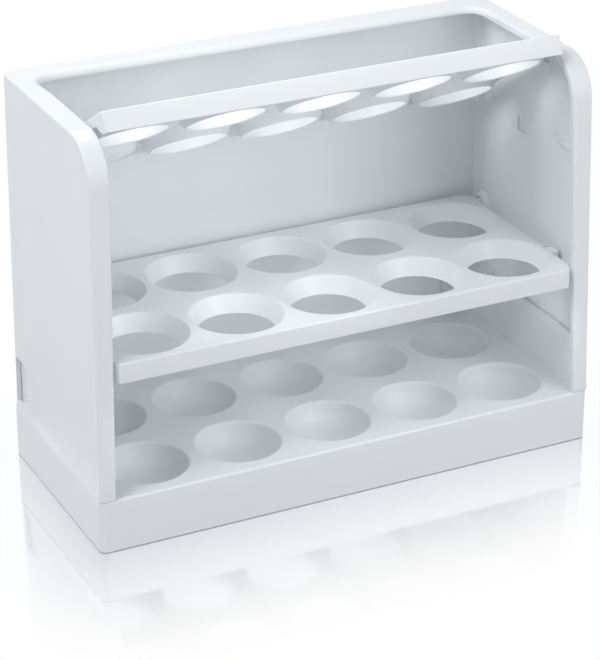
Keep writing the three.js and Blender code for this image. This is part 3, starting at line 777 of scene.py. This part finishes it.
def cut(piece, tools):
    """Takes the tools' solids out of the piece, and the tools out of the scene."""
    for tool in tools:
        modifier = piece.modifiers.new(tool.name, "BOOLEAN")
        modifier.operation, modifier.solver, modifier.object = "DIFFERENCE", "EXACT", tool
    graph = bpy.context.evaluated_depsgraph_get()
    whole = bpy.data.meshes.new_from_object(piece.evaluated_get(graph))
    piece.modifiers.clear()
    piece.data = whole
    for tool in tools:
        bpy.data.objects.remove(tool)


def pocket_tool(name, side, pivot, angle):
    """A block that reaches the pocket's depth into the side wall beside a nub raised by the angle.

    The nub's place ahead of its pivot and above it is turned about the pivot by the angle.
    """
    ahead, above = NUB_REACH, TRAY_TOP_TO_PIVOT - SKIRT_DEPTH / 2
    y = pivot.y - ahead * np.cos(angle) + above * np.sin(angle)
    z = pivot.z + ahead * np.sin(angle) + above * np.cos(angle)
    face = house_half_width(z) - WALL
    y0, y1 = y - POCKET_LENGTH / 2, y + POCKET_LENGTH / 2
    z0, z1 = z - POCKET_HEIGHT / 2, z + POCKET_HEIGHT / 2
    corners = [(y0, z0), (y1, z0), (y1, z1), (y0, z1)]
    low, high = sorted((side * (face - POCKET_IN), side * (face + POCKET_DEPTH)))
    return shell_piece(name, eased_block(corners, low, high, POCKET_EDGE, axis=0))


tools = []
front, sill, top = WINDOW_REAR - WINDOW_LENGTH, WINDOW_SILL, WINDOW_SILL + WINDOW_HEIGHT
window = [(front, sill + WINDOW_SILL_RISE), (WINDOW_REAR, sill), (WINDOW_REAR, top), (front, top)]
for side, hand in ((-1, "left"), (1, "right")):
    low, high = sorted((side * (HALF_WIDTH - WINDOW_IN), side * (HALF_WIDTH + WINDOW_OUT)))
    tools.append(shell_piece(hand + "_window_tool", eased_block(window, low, high, WINDOW_EDGE, axis=0)))
    tools.append(pocket_tool(hand + "_middle_tool", side, middle_pivot, MIDDLE_RISE))
    tools.append(pocket_tool(hand + "_top_tool", side, top_pivot, TOP_RISE))
cut(housing, tools)
housing_plastic = moulded_plastic("housing_white_plastic", PLASTIC, PLASTIC_SHADE, ROUGHNESS, 7.7)
finish_piece(housing, housing_plastic, "housing", "rack")


# Fittings on the housing's inner walls, moulded with them: a ledge under each tray's lugs, which widens
# towards the post and is filleted up to the wall there, and a round socket with a bore for each hinge pin.
LEDGE_THICKNESS, LEDGE_LIP, LEDGE_EDGE, LEDGE_CLEARANCE = 0.0042, 0.0008, 0.0002, 0.0005
LEDGE_POWER, LEDGE_TIP = 0.6, 0.02
LEDGE_REAR = middle_pivot.y - 0.062
SOCKET_RADIUS, SOCKET_FOOT_RADIUS, SOCKET_REACH, SOCKET_EDGE = 0.0044, 0.0062, 0.0024, 0.0004
PIN_CLEARANCE, BORE_EDGE = 0.0003, 0.0003
FILLET_START, FILLET_RISE = -0.0318, 0.0066


def ledge(face, near, front, top):
    """A ledge on the wall's face as sections from its rear end to its front end.

    Its width is LEDGE_TIP of the distance from near to face at its rear end, and grows to the whole of it
    with the share of the way forward to the power LEDGE_POWER. Under its lip it slopes back to the wall. From
    FILLET_START on, a quarter of an ellipse that grows forward joins its top to the wall.
    """
    rows, quarter, back = [], np.radians(np.linspace(0, 90, 9)), face + WALL / 3
    for share in np.linspace(0, 1, 25):
        y = LEDGE_REAR + (front - LEDGE_REAR) * share
        width = (face - near) * (LEDGE_TIP + (1 - LEDGE_TIP) * share**LEDGE_POWER)
        grown = np.clip((FILLET_START - y) / (FILLET_START - front), 0, 1)
        across, high = (width - 2 * LEDGE_EDGE) * grown, FILLET_RISE * grown
        foot = top - LEDGE_LIP - (LEDGE_THICKNESS - LEDGE_LIP) * share**LEDGE_POWER
        row = [(face - across * (1 - np.sin(a)), top + high * (1 - np.cos(a))) for a in quarter]
        row += [(back, top + high), (back, foot), (face, foot)]
        tip = face - width
        row += [(tip, top - LEDGE_LIP), (tip, top - LEDGE_EDGE), (tip + LEDGE_EDGE, top)]
        rows.append([(x, y, z) for x, z in row])
    sides = closed(np.array(rows))
    return [sides, fan(sides[0]), fan(sides[-1])]


fittings = []
for pivot in hinges.values():
    top = pivot.z + TRAY_TOP_TO_PIVOT - SKIRT_DEPTH - SEAT_GAP
    front = FRONT + FRONT_LEAN * rise(top) + RIM_THICKNESS / 2
    shelf = ledge(house_half_width(top) - WALL, TRAY_HALF_WIDTH + LEDGE_CLEARANCE, front, top)
    face = house_half_width(pivot.z) - WALL
    bore, end, root = PIN_RADIUS + PIN_CLEARANCE, face - SOCKET_REACH, face + WALL / 2
    ring = [(root, bore), (end + BORE_EDGE, bore), (end, bore + BORE_EDGE)]
    ring += [(end, SOCKET_RADIUS - SOCKET_EDGE), (end + SOCKET_EDGE, SOCKET_RADIUS)]
    ring += [(face, SOCKET_FOOT_RADIUS), (root, SOCKET_FOOT_RADIUS)]
    socket = turned_profile(ring + ring[:1], pivot.y, pivot.z)
    for patch in shelf + [socket]:
        fittings += [patch, patch * np.array([-1, 1, 1])]
wall_fittings = shell_piece("housing_fittings", fittings)
finish_piece(wall_fittings, housing_plastic, "housing", "rack")


# Stage: a floor that the camera and reflections see as white, which mirrors the rack close to it and throws
# back a little less light than it shows. Soft lamps stand round the rack, dim fills light its mouth and deck,
# and an even sky is white in reflections.
FLOOR_SIZE, FLOOR_DROP = 6.0, 0.0002
FLOOR_WHITE = (0.70, 0.705, 0.715, 1.0)
FLOOR_SPREAD = (1.5, 1.0, 0.0)
MIRROR_SHARE, MIRROR_REACH = 0.85, 0.11
SKY_TONE, SKY_LIGHT = (0.95, 0.97, 1.0, 1.0), 0.14

floor_mesh = bpy.data.meshes.new("floor")
floor_plan = [(x * FLOOR_SIZE / 2, y * FLOOR_SIZE / 2, 0) for x, y in ((-1, -1), (1, -1), (1, 1), (-1, 1))]
floor_mesh.from_pydata(floor_plan, [], [(0, 1, 2, 3)])
floor = bpy.data.objects.new("floor", floor_mesh)
floor.location.z = -FLOOR_DROP
bpy.context.scene.collection.objects.link(floor)

# The mirror image fades out within MIRROR_REACH of the rack's footprint, where the distance is counted
# FLOOR_SPREAD times along each axis. The share of the mirror falls with the square of what is left.
stage = Finish("floor_white")
rays = stage.node("ShaderNodeLightPath")
glossy_ray = Wire(stage, rays.socket.node.outputs["Is Glossy Ray"])
camera_ray = Wire(stage, rays.socket.node.outputs["Is Camera Ray"])
where = stage.node("ShaderNodeTexCoord", output="Object")
folded = stage.node("ShaderNodeVectorMath", {"operation": "ABSOLUTE"}, {0: where})
footprint = (HALF_WIDTH, REAR, 0.0)
clear = stage.node("ShaderNodeVectorMath", {"operation": "SUBTRACT"}, {0: folded, 1: footprint})
outside = stage.node("ShaderNodeVectorMath", {"operation": "MAXIMUM"}, {0: clear, 1: (0.0, 0.0, 0.0)})
spread = stage.node("ShaderNodeVectorMath", {"operation": "MULTIPLY"}, {0: outside, 1: FLOOR_SPREAD})
distance = stage.node("ShaderNodeVectorMath", {"operation": "LENGTH"}, {0: spread}, output="Value")
fading = {"Value": distance, "From Max": MIRROR_REACH, "To Min": 1.0, "To Max": 0.0}
near = stage.node("ShaderNodeMapRange", {}, fading)
share = near * near * MIRROR_SHARE
matt = {"Base Color": FLOOR_WHITE, "Roughness": 0.16, "Specular IOR Level": 0.6}
lit = stage.node("ShaderNodeBsdfPrincipled", {}, matt)
white = stage.node("ShaderNodeEmission", {}, {"Color": (1, 1, 1, 1), "Strength": 1.0})
mirror = stage.node("ShaderNodeBsdfGlossy", {}, {"Color": (1, 1, 1, 1), "Roughness": 0.08})
seen = stage.node("ShaderNodeMixShader", {}, {0: share, 1: white, 2: mirror})
stage_mix = stage.node("ShaderNodeMixShader", {}, {0: camera_ray + glossy_ray, 1: lit, 2: seen})
stage.node("ShaderNodeOutputMaterial", {}, {"Surface": stage_mix})
floor_mesh.materials.append(stage.material)

world = bpy.data.worlds.new("studio")
bpy.context.scene.world = world
world.use_nodes = True
sky = world.node_tree.nodes["Background"]
sky.inputs["Color"].default_value = SKY_TONE
sky_rays = world.node_tree.nodes.new("ShaderNodeLightPath")
sky_light = world.node_tree.nodes.new("ShaderNodeMapRange")
sky_light.inputs["To Min"].default_value = SKY_LIGHT
world.node_tree.links.new(sky_rays.outputs["Is Glossy Ray"], sky_light.inputs["Value"])
world.node_tree.links.new(sky_light.outputs[0], sky.inputs["Strength"])

LAMP_TONE, FILL_TONE = (0.965, 0.985, 1.0), (0.98, 1.0, 0.97)
RACK_MIDDLE = (0.0, 0.0, 0.09)


def soft_lamp(name, place, target, size, power, seen=True, spread=180):
    """A rectangular area lamp at a place, facing a target, with its spread in degrees.

    A fill is a lamp that neither the camera nor a reflection sees.
    """
    data = bpy.data.lights.new(name, "AREA")
    data.shape = "RECTANGLE"
    data.size, data.size_y = size
    data.energy = power
    data.spread = np.radians(spread)
    data.color = LAMP_TONE if seen else FILL_TONE
    lamp = bpy.data.objects.new(name, data)
    lamp.location = place
    lamp.rotation_euler = (Vector(place) - Vector(target)).to_track_quat("Z", "Y").to_euler()
    lamp.visible_camera = seen
    lamp.visible_glossy = seen
    bpy.context.scene.collection.objects.link(lamp)


# Lamps round the rack.
soft_lamp("left_high", (-0.9, -0.15, 1.2), RACK_MIDDLE, (0.9, 0.9), 13.3)
soft_lamp("front_right_high", (0.6, -1.1, 1.1), RACK_MIDDLE, (0.9, 0.9), 4.9)
soft_lamp("front_right_near", (0.45, -0.9, 0.35), RACK_MIDDLE, (0.5, 0.5), 1.75)
soft_lamp("rear_high", (0.0, 0.7, 1.2), RACK_MIDDLE, (0.9, 0.9), 5.4)
soft_lamp("front_low", (0.25, -1.2, 0.12), RACK_MIDDLE, (0.7, 0.2), 0.85)
# Fills: between the trays, over the deck, above the top of the back, and a narrow one from the front left.
soft_lamp("inside", (-0.045, -0.058, 0.119), (-0.03, 0.05, 0.117), (0.12, 0.024), 0.014, False)
soft_lamp("deck", (0.0, -0.060, 0.062), (0.0, 0.02, 0.025), (0.22, 0.03), 0.013, False)
soft_lamp("top_back", (0.0, -0.02, 0.235), (0.0, 0.054, 0.175), (0.20, 0.06), 0.018, False)
soft_lamp("inside_far", (-0.12, -0.42, 0.20), (-0.035, 0.05, 0.118), (0.10, 0.10), 0.0025, False, 24)

bpy.context.scene.view_settings.view_transform = "Standard"
